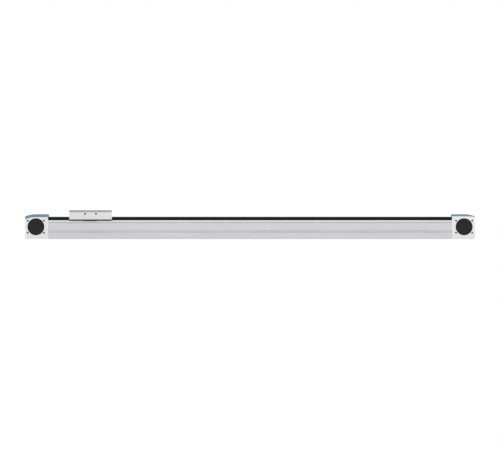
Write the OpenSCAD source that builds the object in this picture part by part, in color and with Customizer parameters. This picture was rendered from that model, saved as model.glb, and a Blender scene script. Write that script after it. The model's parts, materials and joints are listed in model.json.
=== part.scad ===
// Belt driven linear axis
// X runs along the axis, the front faces -Y, Z is up.
// The origin lies in the middle of the underside.

/* [Axis] */
// Length of the aluminium profile
profile_length = 1500; // [600:10:3000]
// Gap between the left head and the carriage at rest
carriage_start = 79; // [20:1:300]

/* [Profile] */
// Width of the profile and of the heads
profile_width = 80; // [79:1:100]
// Height of the profile
profile_height = 69.5; // [69.5:0.5:85]
// Height at which the side faces start to lean inwards
shoulder_height = 62; // [59:0.5:66]
// How far the side faces lean inwards at the top
shoulder_inset = 1.5; // [0.5:0.1:2]
// Width of the open channel that holds the guide rail
channel_width = 52; // [50:0.5:52]
// Depth of the open channel
channel_depth = 31.5; // [31:0.5:34]
// Width of the side slot's mouth
slot_mouth = 10; // [8:0.5:12]
// Height of the side slot's middle above the underside
slot_height = 27; // [26:0.5:30]
// Depth of the side slot
slot_depth = 12; // [9:0.5:12.5]
// Inner width of the side slot
slot_inner = 16; // [14:0.5:18]
// Thickness of the lips at the slot mouths
slot_lip = 3; // [2.5:0.5:4]
// Width of the bottom slot's mouth
bottom_mouth = 6; // [5:0.5:8]
// Inner width of the bottom slot
bottom_inner = 11; // [9:0.5:11]
// Depth of the bottom slot
bottom_depth = 7.5; // [6:0.5:7.5]
// Thickness of the lips at the bottom slot's mouth
bottom_lip = 2.5; // [2:0.5:3]
// Distance of the bottom slots from the middle
bottom_offset = 28.5; // [27:0.5:29]
// Height of the marking groove
groove_height = 60.5; // [58.5:0.5:61.5]
// Width of the marking groove
groove_width = 1.5; // [0.5:0.1:2]
// Depth of the marking groove
groove_depth = 1.2; // [0.3:0.1:1.5]
// Depth of the slot covers below the face
cover_recess = 0.6; // [0.2:0.1:1]
// Thickness of the webs around the hollow chambers
web = 3.5; // [3:0.5:4]

/* [Cover strips] */
// Height of the cover strips above the profile
strip_height = 13; // [9:0.5:14]
// Distance from the middle to a strip's inner side
strip_inner = 24; // [23:0.5:25]
// Distance from the middle to a strip's outer side
strip_outer = 37.5; // [36:0.5:37.5]
// Wall of the hollow strips
strip_wall = 2.5; // [2:0.5:3]
// Width of the tongue that holds a strip in the profile
tongue_width = 2; // [1.5:0.1:3]
// Depth of the tongue
tongue_depth = 2.2; // [1.5:0.1:3]

/* [Guide rail] */
// Width of the guide rail
rail_width = 20; // [18:0.5:22]
// Height of the guide rail
rail_height = 17.5; // [16:0.5:18]
// Depth of the raceway in the rail's side
raceway_depth = 1.8; // [1:0.1:2.5]
// Height on the rail at which the raceway starts
raceway_start = 6.5; // [5:0.5:7]
// Height on the rail at which the raceway ends
raceway_end = 15; // [13:0.5:15]
// Height of the raceway's sloped flanks
raceway_flank = 3; // [2:0.1:3]
// Spacing of the rail screws
rail_pitch = 60; // [50:5:120]
// Distance from the profile's end to the rail's end
rail_inset = 2; // [1:0.5:10]

/* [Runner blocks] */
// Width of a runner block
block_width = 44; // [40:0.5:44]
// Height from the rail's floor to the top of a block
block_height = 30; // [29:0.5:31]
// Gap from the rail's floor to the underside of a block
block_gap = 4.6; // [3:0.1:6]
// Length of a block's steel body
block_body = 50; // [45:1:51]
// Length of each end cap of a block
block_cap = 10.5; // [8:0.5:11]
// Thickness of each end seal of a block
block_seal = 2; // [1.5:0.5:2.5]
// Distance from the carriage's middle to a block's middle
block_offset = 39.5; // [39:0.5:40]
// Screw spacing of a block along the axis
block_hole_x = 36; // [30:1:38]
// Screw spacing of a block across the axis
block_hole_y = 23; // [20:0.5:23]

/* [Belt] */
// Tooth pitch of the belt
belt_pitch = 10; // [9.8:0.1:10.2]
// Width of the belt
belt_width = 32; // [25:1:32]
// Thickness of the belt without its teeth
belt_body = 2; // [1.5:0.1:2.2]
// Height of the belt's teeth
tooth_height = 2.5; // [2:0.1:2.7]
// Width of a tooth at its tip
tooth_tip = 5; // [4.5:0.1:5.2]
// Width of a tooth at its root
tooth_root = 7.3; // [7:0.1:7.5]
// Distance from the belt's land to its tension cords
cord_offset = 0.92; // [0.8:0.02:1]

/* [Pulleys] */
// Number of teeth of each pulley
pulley_teeth = 21; // [20:1:21]
// Thickness of a pulley flange
flange_thickness = 1.5; // [1:0.1:2]
// How far a flange stands above the back of the belt
flange_rise = 1; // [0.5:0.1:1.2]
// Diameter of the pulley's hub
hub_diameter = 41; // [38:0.5:41]
// Diameter of the shafts
shaft_diameter = 35; // [34:0.5:36]
// Bore of the hollow drive shaft
drive_bore = 20; // [18:0.5:22]
// Width of the pulley key
key_width = 8; // [6:0.5:10]
// Height of the pulley key
key_height = 7; // [6:0.5:7]
// Width of the keyway in the drive bore
bore_key_width = 6; // [5:0.5:8]
// Depth of the keyway in the drive bore
bore_key_depth = 2.8; // [2:0.1:3]

/* [Bearings] */
// Outer diameter of a bearing
bearing_outer = 55; // [54:0.5:56]
// Width of a bearing
bearing_width = 10; // [9:0.5:10]
// Thickness of a bearing ring
ring_thickness = 3.2; // [3:0.1:3.4]
// Diameter of a bearing ball
ball_diameter = 5.8; // [5.4:0.1:6]
// Balls in a bearing
ball_count = 14; // [10:1:15]

/* [Heads] */
// Length of a head
head_length = 85; // [84:0.5:100]
// Distance from the pulley's axis to the head's outer end
axis_to_end = 40; // [38.5:0.1:42]
// Width of the space for the pulley
cavity_width = 52; // [50:0.5:52]
// Gap around the pulley flanges
cavity_gap = 1; // [0.6:0.1:1.5]
// Thickness of the roof over the pulley
roof = 2.5; // [2:0.1:4]
// Radius of the idler housing's arched top
idler_top_radius = 450; // [200:10:900]
// Diameter of the bearing caps
cap_diameter = 63; // [60:0.1:64]
// Thickness of the bearing caps
cap_thickness = 2.5; // [2:0.1:2.5]
// Spacing of the front face holes along the axis
face_hole_x = 60; // [58:0.5:62]
// Spacing of the front face holes in height
face_hole_z = 45; // [44:0.5:46]
// Diameter of the front face holes
face_hole = 6.8; // [5:0.1:7]
// Diameter of the rear face holes
rear_hole = 5; // [4:0.1:5.5]
// Diameter of the circle of the rear face holes
rear_circle = 78; // [76.5:0.5:79]
// Depth of the face holes
face_hole_depth = 10; // [6:0.5:10]
// Spacing of the base holes along the axis
base_hole_x = 50; // [44:1:54]
// Spacing of the base holes across the axis
base_hole_y = 40; // [30:1:44]
// Diameter of the base holes
base_hole = 5; // [4:0.1:6]
// Depth of the base holes
base_hole_depth = 7; // [5:0.5:7]
// Thickness of the wall between the belt's strands
bulkhead = 7; // [5:0.5:8]

/* [Blue covers] */
// Thickness of the covers on the heads
hood_thickness = 7.5; // [7:0.1:10]
// Radius of the covers' arched top
hood_radius = 104; // [98:0.5:130]
// How far a cover reaches over the profile
hood_overhang = 5.5; // [3:0.5:6]
// How far a cover's inner end leans back over its height
hood_rake = 3; // [0.5:0.5:3]
// Gap between the cover's lip and the strips
hood_lip_gap = 0.5; // [0.3:0.1:1.5]
// How far the drive cover's aprons hang down the front and rear faces
apron_drop = 3.2; // [1:0.1:3.2]
// Thickness of these aprons
apron_thickness = 3; // [2:0.1:3.5]
// Wall over the hollow in the cover
hood_wall = 3.5; // [3:0.5:4]

/* [Carriage] */
// Length of the carriage
carriage_length = 158; // [156:1:170]
// How far the carriage stands out over the profile's sides
side_overhang = 3; // [2.5:0.5:10]
// Thickness of the carriage's side skirts
skirt_thickness = 4; // [3:0.1:4]
// Gap between the profile's top and the skirts' lower edge
skirt_gap = 3.1; // [1:0.1:6]
// Height of the carriage body's top above the cover strips
body_height = 17; // [14.5:0.5:28]
// Thickness of the top plate
plate_thickness = 7.5; // [7:0.5:12]
// Thickness of the floor between blocks and belt clamp
base_thickness = 4.3; // [4:0.1:5]
// Thickness of the webs beside the belt
side_web = 5.5; // [5:0.1:5.5]
// Thickness of the lower belt clamp under its teeth
clamp_plate = 3; // [2.5:0.1:4]
// Thickness of the upper clamp plates
press_plate = 5.8; // [4:0.1:7]
// Length of each upper clamp plate
press_length = 60; // [50:1:62]
// Spacing of the payload holes along the axis
payload_x = 100; // [80:1:110]
// Spacing of the payload holes across the axis
payload_y = 60; // [50:1:64]
// Diameter of the payload holes
payload_hole = 6.8; // [5:0.1:8]
// Depth of the payload holes
payload_depth = 14; // [10:0.5:15]
// Spacing of the lubrication holes
lube_spacing = 40; // [30:1:60]
// Height of the lubrication holes below the body's top
lube_drop = 6; // [5:0.5:8]
// Diameter of the lubrication holes
lube_hole = 7; // [4:0.1:7.5]
// Depth of the lubrication holes
lube_depth = 12; // [8:0.5:14]
// Length of the magnet holders
magnet_length = 52; // [40:1:80]
// Height of the magnet holders
magnet_height = 5.2; // [3:0.1:5.4]
// Height of the side seals
seal_height = 4.4; // [2:0.1:4.8]
// Thickness of the side seals and magnet holders
seal_thickness = 2.5; // [2:0.1:3]

/* [End buffers] */
// Diameter of a rubber buffer
buffer_diameter = 14; // [10:0.5:15]
// Length of a rubber buffer
buffer_length = 8; // [5:0.5:12]
// Distance between the two buffers of a head
buffer_spacing = 28; // [20:1:34]

/* [Hidden] */

$fn = 72;
// Overlap of a cutting body with the space outside its piece
eps = 0.05;
// Gap around clipped-in plastic pieces
plastic_fit = 0.1;
// Gap around screws and pins
screw_fit = 0.1;
// Gap of rings on shafts and in bores
ring_fit = 0.02;
// Gap between the belt's teeth and what they mesh with
tooth_fit = 0.2;
// Running gap between the guide rail and its blocks
rail_gap = 0.4;
// Running gap between balls and raceways
ball_gap = 0.1;
// Running gap between moving and fixed pieces
run_gap = 1;
// Gap under wipers and around seals
wipe_gap = 0.3;

// Colours
aluminium = [0.83, 0.83, 0.84];
head_grey = [0.89, 0.89, 0.90];
plate_grey = [0.66, 0.67, 0.69];
slot_grey = [0.75, 0.76, 0.77];
steel = [0.70, 0.71, 0.73];
dark_steel = [0.22, 0.22, 0.23];
black_plastic = [0.12, 0.12, 0.12];
cap_black = [0.18, 0.18, 0.18];
belt_black = [0.10, 0.10, 0.11];
hood_blue = [0.36, 0.57, 0.67];
rubber = [0.15, 0.15, 0.15];
brass = [0.78, 0.64, 0.32];
cage_green = [0.35, 0.50, 0.38];

// Heights and half widths of the profile
half_length = profile_length / 2;
half_width = profile_width / 2;
channel_half = channel_width / 2;
rail_floor = profile_height - channel_depth;
rail_top = rail_floor + rail_height;
strip_top = profile_height + strip_height;
strip_middle = (strip_inner + strip_outer) / 2;

// Belt and pulleys
block_top = rail_floor + block_height;
clamp_floor = block_top + base_thickness;
clamp_top = clamp_floor + clamp_plate;
upper_land = clamp_top + tooth_fit + tooth_height;
upper_back = upper_land + belt_body;
land_radius = pulley_teeth * belt_pitch / (2 * PI) - cord_offset;
back_radius = land_radius + belt_body;
tip_radius = land_radius - tooth_height;
pulley_z = upper_land - land_radius;
pulley_u = head_length - axis_to_end;
pulley_x = half_length + pulley_u;
belt_half = belt_width / 2;
tooth_step = 360 / pulley_teeth;
strand_teeth = round(2 * pulley_x / belt_pitch);
strand_pitch = 2 * pulley_x / strand_teeth;
wrap_teeth = ceil(pulley_teeth / 2) - 1;
lower_phase = ceil(pulley_teeth / 2) - pulley_teeth / 2;

// Space for the lower strand in the profile
chamber_gap = 3;
chamber_half = belt_half + 1.5;
chamber_bottom = pulley_z - back_radius - chamber_gap;
chamber_top = pulley_z - tip_radius + chamber_gap;

// Heads
flange_radius = back_radius + flange_rise;
cavity_radius = flange_radius + cavity_gap;
cavity_half = cavity_width / 2;
head_top = pulley_z + cavity_radius + roof;
hood_top = head_top + hood_thickness;
drive_top_radius = hood_radius - hood_thickness;
bearing_face = half_width - cap_thickness;
hub_half = bearing_face - bearing_width;
rim_half = belt_half + 0.5;
ball_circle = (shaft_diameter + bearing_outer) / 4;
lip_radius = bearing_outer / 2 - ring_thickness + 0.2;

// Long head screws under the bearings, short ones beside the bulkhead
long_screw_y = 34.5;
long_screw_z = 11;
short_screw_y = 32.5;
short_screw_z = pulley_z + 12.5;
short_screw_seat = 12.5;
screw_reach = 22;
head_screw = 5;
seat_sink = 6;

// Carriage
carriage_x = -half_length + carriage_start + carriage_length / 2;
carriage_half = half_width + side_overhang;
skirt_inner = carriage_half - skirt_thickness;
skirt_bottom = profile_height + skirt_gap;
body_top = strip_top + body_height;
tunnel_half = belt_half + 0.8;
clamp_half = belt_half + 0.5;
web_outer = tunnel_half + side_web;
body_bottom = strip_top + run_gap;
tunnel_top = upper_back + 0.6;
press_bottom = upper_back + tooth_fit;
press_top = press_bottom + press_plate;
plate_top = body_top + plate_thickness;
clamp_inset = 5;
press_inner = 12;
wiper_depth = 4;
wiper_height = 5;
block_bottom = rail_floor + block_gap;
block_half = block_width / 2;
small_screw = 5;

// Depth and width of the counterbores in the guide rail, and its plugs
rail_chamfer = 1;
rail_sink = 8.5;
rail_sink_width = 9.5;
rail_plug = 1.5;
// Height of the hollow chambers in the profile's walls
wall_chamber = 12;

// Screws of the blue covers
hood_screw = 4;
hood_screw_y = (half_width + cavity_half) / 2;
hood_screw_sink = 4.5;
hood_screw_depth = 9;
hood_screw_drill = hood_screw_sink + hood_screw_depth + 1;
hood_hollow_rim = 4;
hood_hollow_half = cavity_half + 2;

// Bearings and shafts
bearing_middle = (bearing_face + hub_half) / 2;
seal_sheet = 0.8;
cage_thickness = 1.6;
cage_rim = 0.6;
shaft_end = bearing_face - 0.5;
key_length = 28;
key_seat = 4;
key_foot = shaft_diameter / 2 - key_seat;
key_fit = 0.05;
centre_hole = 6;
centre_depth = 8;
// Flat faces that stand for the round back of the belt on each pulley
wrap_facets = 48;

// Screws of the top plate and of the upper clamps
plate_screw_inset = 8;
plate_screw_depth = 10;
plate_screw_sink = small_screw + 0.3;
plate_screw_x = carriage_length / 2 - plate_screw_inset;
plate_screw_y = carriage_half - plate_screw_inset;
clamp_screw_spacing = 20;
clamp_screw_length = 8;
seal_outer = carriage_half - 0.2;
seal_end_gap = 0.5;
nipple_body = 4;
nipple_recess = 1.2;

// ---------- helpers ----------

// Extrudes an outline drawn in Y and Z along X
module along_x(x0, x1) {
    translate([x0, 0, 0])
        rotate([90, 0, 90])
            linear_extrude(x1 - x0)
                children();
}

// Extrudes an outline drawn in X and Z along Y
module along_y(y0, y1) {
    translate([0, y1, 0])
        rotate([90, 0, 0])
            linear_extrude(y1 - y0)
                children();
}

module rod_x(d, x0, x1, y, z) {
    translate([x0, y, z])
        rotate([0, 90, 0])
            cylinder(d = d, h = x1 - x0);
}

module rod_y(d, y0, y1, x, z) {
    translate([x, y1, z])
        rotate([90, 0, 0])
            cylinder(d = d, h = y1 - y0);
}

module rod_z(d, z0, z1, x, y) {
    translate([x, y, z0])
        cylinder(d = d, h = z1 - z0);
}

// A box from its lowest and highest corners
module block(low, high) {
    translate(low)
        cube(high - low);
}

// An outline and its mirror image
module mirrored_outline() {
    children();
    mirror([1, 0])
        children();
}

// A front piece and its copy at the rear
module front_and_rear() {
    children();
    mirror([0, 1, 0])
        children();
}

// Places a head drawn outwards from the profile's end
module at_head(side) {
    if (side < 0)
        mirror([1, 0, 0])
            translate([half_length, 0, 0])
                children();
    else
        translate([half_length, 0, 0])
            children();
}

module at_pulley(side) {
    translate([side * pulley_x, 0, pulley_z])
        children();
}

module on_carriage() {
    translate([carriage_x, 0, 0])
        children();
}

// Socket head screw along Z, its head above z = 0
module cap_screw(d, length) {
    difference() {
        union() {
            cylinder(d = 1.7 * d, h = d);
            translate([0, 0, -length])
                cylinder(d = d, h = length + eps);
        }
        translate([0, 0, d / 2])
            cylinder(d = 0.92 * d, h = d, $fn = 6);
    }
}

// Countersunk screw along Z, its head flush with z = 0
module flat_screw(d, length) {
    difference() {
        union() {
            translate([0, 0, -d / 2])
                cylinder(d1 = d, d2 = 2 * d, h = d / 2);
            translate([0, 0, -length])
                cylinder(d = d, h = length - d / 2 + eps);
        }
        translate([0, 0, -d / 2])
            cylinder(d = 0.7 * d, h = d, $fn = 6);
    }
}

// Slotless grub screw along Z with a hexagon socket, its foot at z = 0
module grub_screw(d, length) {
    difference() {
        cylinder(d = d, h = length);
        translate([0, 0, length / 2])
            cylinder(d = 0.58 * d, h = length, $fn = 6);
    }
}

// ---------- profile ----------

// Space of a T-slot that opens downwards at the origin
module slot_space(mouth, lip, inner, depth) {
    translate([-mouth / 2, -1])
        square([mouth, lip + 1 + eps]);
    translate([-inner / 2, lip])
        square([inner, depth - lip]);
}

// Plastic strip that closes a T-slot's mouth
module slot_cover(mouth, lip) {
    hook = 1.2;
    translate([-mouth / 2 + plastic_fit, cover_recess])
        square([mouth - 2 * plastic_fit, lip + hook - cover_recess]);
    translate([-mouth / 2 - hook / 2, lip + plastic_fit])
        square([mouth + hook, hook - plastic_fit]);
}

module place_side_slot() {
    translate([half_width, slot_height])
        rotate(90)
            children();
}

module profile_outline() {
    bevel = 0.5;
    half = [
        [half_width - bevel, 0],
        [half_width, bevel],
        [half_width, shoulder_height],
        [half_width - shoulder_inset, profile_height],
        [channel_half, profile_height],
        [channel_half, rail_floor]
    ];
    other = [for (i = [len(half) - 1:-1:0]) [-half[i][0], half[i][1]]];
    polygon(concat(half, other));
}

module profile_hollows() {
    core_bottom = chamber_top + web;
    translate([-chamber_half, chamber_bottom])
        square([2 * chamber_half, chamber_top - chamber_bottom]);
    translate([-chamber_half, core_bottom])
        square([2 * chamber_half, rail_floor - web - core_bottom]);
    mirrored_outline() {
        place_side_slot()
            slot_space(slot_mouth, slot_lip, slot_inner, slot_depth);
        translate([bottom_offset, 0])
            slot_space(bottom_mouth, bottom_lip, bottom_inner, bottom_depth);
        translate([half_width - groove_depth, groove_height - groove_width / 2])
            square([groove_depth + 1, groove_width]);
        translate([strip_middle - tongue_width / 2 - plastic_fit, profile_height - tongue_depth - plastic_fit])
            square([tongue_width + 2 * plastic_fit, tongue_depth + 1]);
        translate([channel_half + web, slot_height + slot_inner / 2 + web])
            square([half_width - channel_half - 2 * web, wall_chamber]);
        translate([long_screw_y, long_screw_z])
            circle(d = head_screw + 2 * screw_fit);
        translate([short_screw_y, short_screw_z])
            circle(d = head_screw + 2 * screw_fit);
    }
}

module profile_body() {
    color(aluminium)
        difference() {
            along_x(-half_length, half_length)
                difference() {
                    profile_outline();
                    profile_hollows();
                }
            for (x = rail_screw_places())
                rod_z(small_screw + 2 * screw_fit, rail_floor - web, rail_floor + eps, x, 0);
        }
}

module side_slot_covers() {
    color(slot_grey)
        front_and_rear()
            along_x(-half_length, half_length)
                place_side_slot()
                    slot_cover(slot_mouth, slot_lip);
}

module bottom_slot_covers() {
    color(slot_grey)
        front_and_rear()
            along_x(-half_length, half_length)
                translate([bottom_offset, 0])
                    slot_cover(bottom_mouth, bottom_lip);
}

// Hollow strip on top of the profile, drawn at positive Y
module cover_strip() {
    bevel = 1;
    difference() {
        union() {
            polygon([
                [strip_inner, profile_height],
                [strip_outer, profile_height],
                [strip_outer, strip_top - bevel],
                [strip_outer - bevel, strip_top],
                [strip_inner + bevel, strip_top],
                [strip_inner, strip_top - bevel]
            ]);
            translate([strip_middle - tongue_width / 2, profile_height - tongue_depth])
                square([tongue_width, tongue_depth + eps]);
        }
        translate([strip_inner + strip_wall, profile_height + strip_wall])
            square([strip_outer - strip_inner - 2 * strip_wall, strip_height - 2 * strip_wall]);
    }
}

module cover_strip_rear() {
    color(black_plastic)
        along_x(-half_length, half_length)
            cover_strip();
}

module cover_strip_front() {
    color(black_plastic)
        mirror([0, 1, 0])
            along_x(-half_length, half_length)
                cover_strip();
}

// ---------- guide rail ----------

// Places of the rail screws, spread evenly about the middle
function rail_screw_places() =
    let (count = floor((profile_length - 2 * rail_inset - rail_pitch / 2) / rail_pitch))
    [for (i = [0:count]) (i - count / 2) * rail_pitch];

// Rail section from foot to top, grown on all sides by gap
module rail_outline(foot, gap) {
    half = rail_width / 2;
    side = [
        [half + gap, foot],
        [half + gap, rail_floor + raceway_start],
        [half - raceway_depth + gap, rail_floor + raceway_start + raceway_flank],
        [half - raceway_depth + gap, rail_floor + raceway_end - raceway_flank],
        [half + gap, rail_floor + raceway_end],
        [half + gap, rail_top + gap - rail_chamfer],
        [half + gap - rail_chamfer, rail_top + gap]
    ];
    other = [for (i = [len(side) - 1:-1:0]) [-side[i][0], side[i][1]]];
    polygon(concat(side, other));
}

module guide_rail() {
    color(steel)
        difference() {
            along_x(-half_length + rail_inset, half_length - rail_inset)
                rail_outline(rail_floor, 0);
            for (x = rail_screw_places()) {
                rod_z(small_screw + 2 * screw_fit, rail_floor - eps, rail_top, x, 0);
                rod_z(rail_sink_width, rail_top - rail_sink, rail_top + eps, x, 0);
            }
        }
}

module rail_screws() {
    color(dark_steel)
        for (x = rail_screw_places())
            translate([x, 0, rail_top - rail_sink])
                cap_screw(small_screw, rail_height - rail_sink + web - 0.5);
}

module rail_plugs() {
    color(brass)
        for (x = rail_screw_places())
            rod_z(rail_sink_width - 2 * screw_fit, rail_top - rail_plug, rail_top, x, 0);
}

// ---------- heads ----------

// Side view of a housing, from the profile's end outwards, with its top
// lowered by drop and arched by radius outwards of the pulley's axis
module housing_outline(radius, drop) {
    top = head_top - drop;
    intersection() {
        square([head_length, top]);
        union() {
            square([pulley_u, top]);
            translate([pulley_u, top - radius])
                circle(radius, $fn = 180);
        }
    }
}

// The solid that a cover sits on. Its front and rear edges are lower by drop.
module housing_shape(radius, drop) {
    inner_half = half_width - apron_thickness;
    if (drop > 0) {
        along_y(-inner_half, inner_half)
            housing_outline(radius, 0);
        front_and_rear()
            along_y(inner_half - eps, half_width)
                housing_outline(radius, drop);
    } else
        along_y(-half_width, half_width)
            housing_outline(radius, 0);
}

// Side view of the space for pulley and belt
module cavity_outline() {
    translate([pulley_u, pulley_z])
        circle(cavity_radius);
    difference() {
        translate([-1, pulley_z - cavity_radius])
            square([pulley_u + 1, 2 * cavity_radius]);
        translate([0, chamber_top + run_gap])
            square([bulkhead, clamp_top - run_gap - chamber_top - run_gap]);
    }
}

// Four holes around the pulley's axis, on a rectangle in the front face
module front_face_holes() {
    for (x = [-1, 1], z = [-1, 1])
        rod_y(face_hole, -half_width - eps, face_hole_depth - half_width,
            pulley_u + x * face_hole_x / 2, pulley_z + z * face_hole_z / 2);
}

// Four holes in the rear face, on a circle, for a motor's square flange
module rear_face_holes() {
    for (a = [45:90:315])
        rod_y(rear_hole, half_width - face_hole_depth, half_width + eps,
            pulley_u + rear_circle / 2 * cos(a), pulley_z + rear_circle / 2 * sin(a));
}

function hood_surface(u) =
    u <= pulley_u ? hood_top
    : hood_top - hood_radius + sqrt(pow(hood_radius, 2) - pow(u - pulley_u, 2));
function hood_screw_places() = [pulley_u - 25, pulley_u + 21];

module head_housing(radius, drop) {
    difference() {
        housing_shape(radius, drop);
        along_y(-cavity_half, cavity_half)
            cavity_outline();
        rod_y(2 * lip_radius, -half_width, half_width, pulley_u, pulley_z);
        rod_y(bearing_outer + 2 * ring_fit, -bearing_face - eps, -hub_half, pulley_u, pulley_z);
        rod_y(bearing_outer + 2 * ring_fit, hub_half, bearing_face + eps, pulley_u, pulley_z);
        rod_y(cap_diameter, -half_width - eps, -bearing_face, pulley_u, pulley_z);
        rod_y(cap_diameter, bearing_face, half_width + eps, pulley_u, pulley_z);
        front_face_holes();
        rear_face_holes();
        front_and_rear() {
            rod_x(head_screw + 2 * screw_fit, -eps, head_length, long_screw_y, long_screw_z);
            rod_x(2 * head_screw - 1, head_length - seat_sink, head_length + eps, long_screw_y, long_screw_z);
            rod_x(head_screw + 2 * screw_fit, -eps, pulley_u - 20, short_screw_y, short_screw_z);
            rod_x(2 * head_screw - 1, short_screw_seat, pulley_u - 20, short_screw_y, short_screw_z);
            for (u = hood_screw_places())
                rod_z(hood_screw + 2 * screw_fit, hood_surface(u) - hood_screw_drill, hood_top, u, hood_screw_y);
        }
        for (x = [-1, 1], y = [-1, 1])
            rod_z(base_hole, -eps, base_hole_depth, pulley_u + x * base_hole_x / 2, y * base_hole_y / 2);
    }
}

module drive_head_housing() {
    color(head_grey)
        at_head(-1)
            head_housing(drive_top_radius, apron_drop);
}

module idler_head_housing() {
    color(head_grey)
        at_head(1)
            head_housing(idler_top_radius, 0);
}

module head_screws() {
    front_and_rear() {
        translate([head_length - seat_sink, long_screw_y, long_screw_z])
            rotate([0, 90, 0])
                cap_screw(head_screw, head_length - seat_sink + screw_reach);
        translate([short_screw_seat, short_screw_y, short_screw_z])
            rotate([0, 90, 0])
                cap_screw(head_screw, short_screw_seat + screw_reach);
    }
}

module drive_head_screws() {
    color(dark_steel)
        at_head(-1)
            head_screws();
}

module idler_head_screws() {
    color(dark_steel)
        at_head(1)
            head_screws();
}

// Side view of a blue cover with the housing: flat over the belt, arched outwards
module hood_outline() {
    lip = strip_top + hood_lip_gap;
    polygon([
        [-hood_overhang, lip],
        [hood_rake - hood_overhang, hood_top],
        [pulley_u, hood_top],
        [pulley_u, 0],
        [0, 0],
        [0, lip]
    ]);
    intersection() {
        translate([pulley_u, hood_top - hood_radius])
            circle(hood_radius, $fn = 180);
        translate([pulley_u, 0])
            square([axis_to_end, hood_top]);
    }
}

module hood(radius, drop) {
    difference() {
        along_y(-half_width, half_width)
            hood_outline();
        housing_shape(radius, drop);
        block([hood_hollow_rim, -hood_hollow_half, head_top - eps],
            [pulley_u - hood_hollow_rim, hood_hollow_half, hood_top - hood_wall]);
        front_and_rear()
            for (u = hood_screw_places()) {
                rod_z(hood_screw + 2 * screw_fit, 0, hood_top + eps, u, hood_screw_y);
                rod_z(2 * hood_screw, hood_surface(u) - hood_screw_sink, hood_top + eps, u, hood_screw_y);
            }
    }
}

module drive_head_hood() {
    color(hood_blue)
        at_head(-1)
            hood(drive_top_radius, apron_drop);
}

module idler_head_hood() {
    color(hood_blue)
        at_head(1)
            hood(idler_top_radius, 0);
}

module hood_screws() {
    color(dark_steel)
        for (side = [-1, 1])
            at_head(side)
                front_and_rear()
                    for (u = hood_screw_places())
                        translate([u, hood_screw_y, hood_surface(u) - hood_screw_sink])
                            cap_screw(hood_screw, hood_screw_depth);
}

// Dark disc that closes a bearing bore at the rear of a head
module bearing_cap() {
    rod_y(cap_diameter - 2 * screw_fit, bearing_face, half_width, 0, 0);
}

module drive_front_cap() {
    color(cap_black)
        at_pulley(-1)
            mirror([0, 1, 0])
                bearing_cap();
}

module idler_front_cap() {
    color(cap_black)
        at_pulley(1)
            mirror([0, 1, 0])
                bearing_cap();
}

module idler_rear_cap() {
    color(cap_black)
        at_pulley(1)
            bearing_cap();
}

module end_buffers() {
    for (y = [-1, 1])
        rod_x(buffer_diameter, -buffer_length, 0, y * buffer_spacing / 2, block_top - 3);
}

module end_buffers_left() {
    color(rubber)
        at_head(-1)
            end_buffers();
}

module end_buffers_right() {
    color(rubber)
        at_head(1)
            end_buffers();
}

// ---------- bearings ----------

// A ring turned about Y, its section drawn in radius and width
module turned_y(y) {
    translate([0, y, 0])
        rotate([90, 0, 0])
            rotate_extrude()
                children();
}

module raceway() {
    translate([ball_circle, 0])
        circle(d = ball_diameter + 2 * ball_gap);
}

module outer_rings() {
    for (side = [-1, 1])
        turned_y(side * bearing_middle)
            difference() {
                translate([bearing_outer / 2 - ring_thickness, -bearing_width / 2])
                    square([ring_thickness, bearing_width]);
                raceway();
            }
}

module inner_rings() {
    for (side = [-1, 1])
        turned_y(side * bearing_middle)
            difference() {
                translate([shaft_diameter / 2 + ring_fit, -bearing_width / 2])
                    square([ring_thickness - ring_fit, bearing_width]);
                raceway();
            }
}

module bearing_seals() {
    inner = shaft_diameter / 2 + ring_thickness + wipe_gap;
    outer = bearing_outer / 2 - ring_thickness;
    for (side = [-1, 1], face = [-1, 1])
        turned_y(side * bearing_middle + face * (bearing_width / 2 - seal_sheet))
            translate([inner, -seal_sheet / 2])
                square([outer - inner, seal_sheet]);
}

module bearing_balls() {
    for (side = [-1, 1], i = [0:ball_count - 1])
        rotate([0, i * 360 / ball_count, 0])
            translate([ball_circle, side * bearing_middle, 0])
                sphere(d = ball_diameter);
}

module bearing_cages() {
    cage_width = ball_diameter + 2 * cage_rim;
    for (side = [-1, 1])
        difference() {
            turned_y(side * bearing_middle)
                translate([ball_circle - cage_thickness / 2, -cage_width / 2])
                    square([cage_thickness, cage_width]);
            for (i = [0:ball_count - 1])
                rotate([0, i * 360 / ball_count, 0])
                    translate([ball_circle - cage_thickness, side * bearing_middle, 0])
                        rotate([0, 90, 0])
                            cylinder(d = ball_diameter + 2 * ball_gap, h = 2 * cage_thickness);
        }
}

module drive_bearing_outer_rings() {
    color(steel)
        at_pulley(-1)
            outer_rings();
}

module idler_bearing_outer_rings() {
    color(steel)
        at_pulley(1)
            outer_rings();
}

module drive_bearing_seals() {
    color(black_plastic)
        at_pulley(-1)
            bearing_seals();
}

module idler_bearing_seals() {
    color(black_plastic)
        at_pulley(1)
            bearing_seals();
}

module drive_bearing_inner_rings() {
    color(steel)
        at_pulley(-1)
            inner_rings();
}

module idler_bearing_inner_rings() {
    color(steel)
        at_pulley(1)
            inner_rings();
}

module drive_bearing_cages() {
    color(cage_green)
        at_pulley(-1)
            bearing_cages();
}

module idler_bearing_cages() {
    color(cage_green)
        at_pulley(1)
            bearing_cages();
}

module drive_bearing_balls() {
    color(steel)
        at_pulley(-1)
            bearing_balls();
}

module idler_bearing_balls() {
    color(steel)
        at_pulley(1)
            bearing_balls();
}

// ---------- pulleys ----------

module rim_outline() {
    root = tooth_root / 2 + tooth_fit;
    tip = tooth_tip / 2 + tooth_fit;
    difference() {
        circle(land_radius - tooth_fit);
        for (i = [0:pulley_teeth - 1])
            rotate(i * tooth_step)
                polygon([
                    [-root, land_radius],
                    [-tip, tip_radius - tooth_fit],
                    [tip, tip_radius - tooth_fit],
                    [root, land_radius]
                ]);
    }
}

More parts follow.
